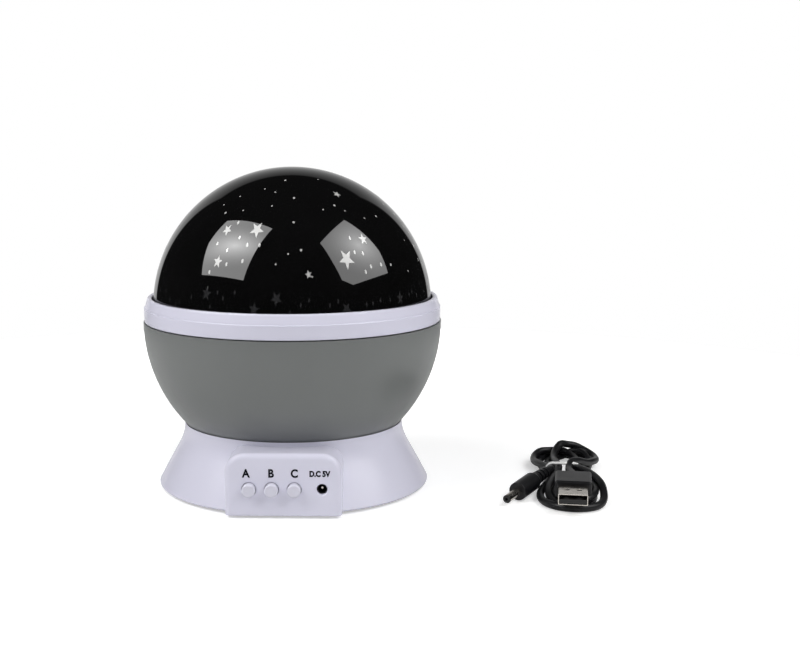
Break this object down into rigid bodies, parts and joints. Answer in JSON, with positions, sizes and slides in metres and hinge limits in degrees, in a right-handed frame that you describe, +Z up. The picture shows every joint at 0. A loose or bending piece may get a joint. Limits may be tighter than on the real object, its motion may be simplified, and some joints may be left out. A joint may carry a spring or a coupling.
{
  "type": "star projector lamp",
  "caption": "Table-top star projector: black star dome in a white ring on a grey bowl that turns on a flared white base with push buttons and a power socket, with its USB lead.",
  "frame": {"origin": "on the table, under the vertical axis that the bowl turns about", "axes": "+Z up along the turning axis, the button panel faces -Y, +X to the right of the panel"},
  "size_m": [0.2081, 0.131, 0.1401],
  "materials": {
    "white_plastic": "smooth moulded, slightly glossy cool white",
    "button_plastic": "smooth moulded white",
    "grey_plastic": "smooth moulded mid grey, glossy",
    "dome_plastic": "polished, nearly black",
    "film": "black print with clear stars and dots",
    "rubber": "matt",
    "steel": "zinc-plated",
    "nickel": "bright nickel plate",
    "brass": "tinned brass",
    "circuit_board": "green solder mask",
    "black_parts": "moulded black",
    "socket_plastic": "moulded black",
    "gear_plastic": "natural moulded nylon",
    "washer_plastic": "slippery washer plastic",
    "led_clear": "water clear",
    "led_red": "tinted",
    "led_green": "tinted",
    "led_blue": "tinted",
    "wire": "insulated hookup wire",
    "lead_plastic": "soft black jacket",
    "tie_plastic": "white paper-covered wire"
  },
  "bodies": {
    "base": {"base_housing": "white_plastic", "bottom_cover": "white_plastic", "rubber_feet": "rubber", "housing_screws": "steel", "contact_plates": "nickel", "contact_springs": "nickel", "control_board": "circuit_board", "control_parts": "black_parts", "tact_switches": "black_parts", "dc_jack": "socket_plastic", "dc_jack_pin": "nickel", "motor_can": "steel", "motor_end_cap": "gear_plastic", "motor_tags": "brass", "motor_screws": "steel", "gear_axle": "steel", "axle_clip": "steel", "thrust_washer": "washer_plastic", "top_washer": "washer_plastic", "post_clip": "steel", "led_post": "white_plastic", "post_screws": "steel", "led_holder": "white_plastic", "led_board": "circuit_board", "led_board_screws": "steel", "led_white": "led_clear", "led_red": "led_red", "led_green": "led_green", "led_blue": "led_blue", "led_wires": "wire", "motor_wires": "wire", "battery_wires": "wire", "dc_plug_grip": "lead_plastic", "dc_plug_barrel": "nickel", "dc_plug_tip": "socket_plastic", "cord_dc_tail": "lead_plastic", "cord_hank": "lead_plastic", "cord_usb_tail": "lead_plastic", "cable_tie": "tie_plastic", "usb_grip": "lead_plastic", "usb_shell": "nickel", "usb_tongue": "socket_plastic"},
    "ball": {"bowl": "grey_plastic", "drive_gear": "gear_plastic", "drive_screws": "steel"},
    "cover": {"dome_ring": "white_plastic", "dome_shell": "dome_plastic", "star_film": "film", "clamp_ring": "black_parts"},
    "double_gear": {"double_gear": "gear_plastic"},
    "motor_output": {"motor_shaft": "steel", "motor_pinion": "gear_plastic"},
    "button_a": {"button_a": "button_plastic", "plunger_a": "black_parts"},
    "button_b": {"button_b": "button_plastic", "plunger_b": "black_parts"},
    "button_c": {"button_c": "button_plastic", "plunger_c": "black_parts"},
    "battery_door": {"battery_door": "white_plastic"}
  },
  "joints": [
    {"name": "ball_turn", "type": "hinge", "parent": "base", "child": "ball", "pos_m": [0, 0, 0.05], "axis": [0, 0, 1], "continuous": true},
    {"name": "cover_lift", "type": "slide", "parent": "ball", "child": "cover", "axis": [0, 0, 1], "range_m": [0, 0.06]},
    {"name": "double_gear_turn", "type": "hinge", "parent": "base", "child": "double_gear", "pos_m": [0.0126, -0.02182, 0.0225], "axis": [0, 0, 1], "continuous": true},
    {"name": "motor_turn", "type": "hinge", "parent": "base", "child": "motor_output", "pos_m": [-0.0015, -0.02695, 0.0214], "axis": [0, 0, 1], "continuous": true},
    {"name": "button_a_press", "type": "slide", "parent": "base", "child": "button_a", "axis": [0, 1, 0], "range_m": [0, 0.0005], "stiffness_N_per_m": 600, "springref_m": -0.0008},
    {"name": "button_b_press", "type": "slide", "parent": "base", "child": "button_b", "axis": [0, 1, 0], "range_m": [0, 0.0005], "stiffness_N_per_m": 600, "springref_m": -0.0008},
    {"name": "button_c_press", "type": "slide", "parent": "base", "child": "button_c", "axis": [0, 1, 0], "range_m": [0, 0.0005], "stiffness_N_per_m": 600, "springref_m": -0.0008},
    {"name": "battery_door_turn", "type": "hinge", "parent": "base", "child": "battery_door", "pos_m": [0, 0.0416, 0.0021], "axis": [1, 0, 0], "range_deg": [0, 80]}
  ],
  "couplings": [
    {"joint": "double_gear_turn", "follows": "ball_turn", "ratio": -5},
    {"joint": "motor_turn", "follows": "ball_turn", "ratio": 20}
  ]
}
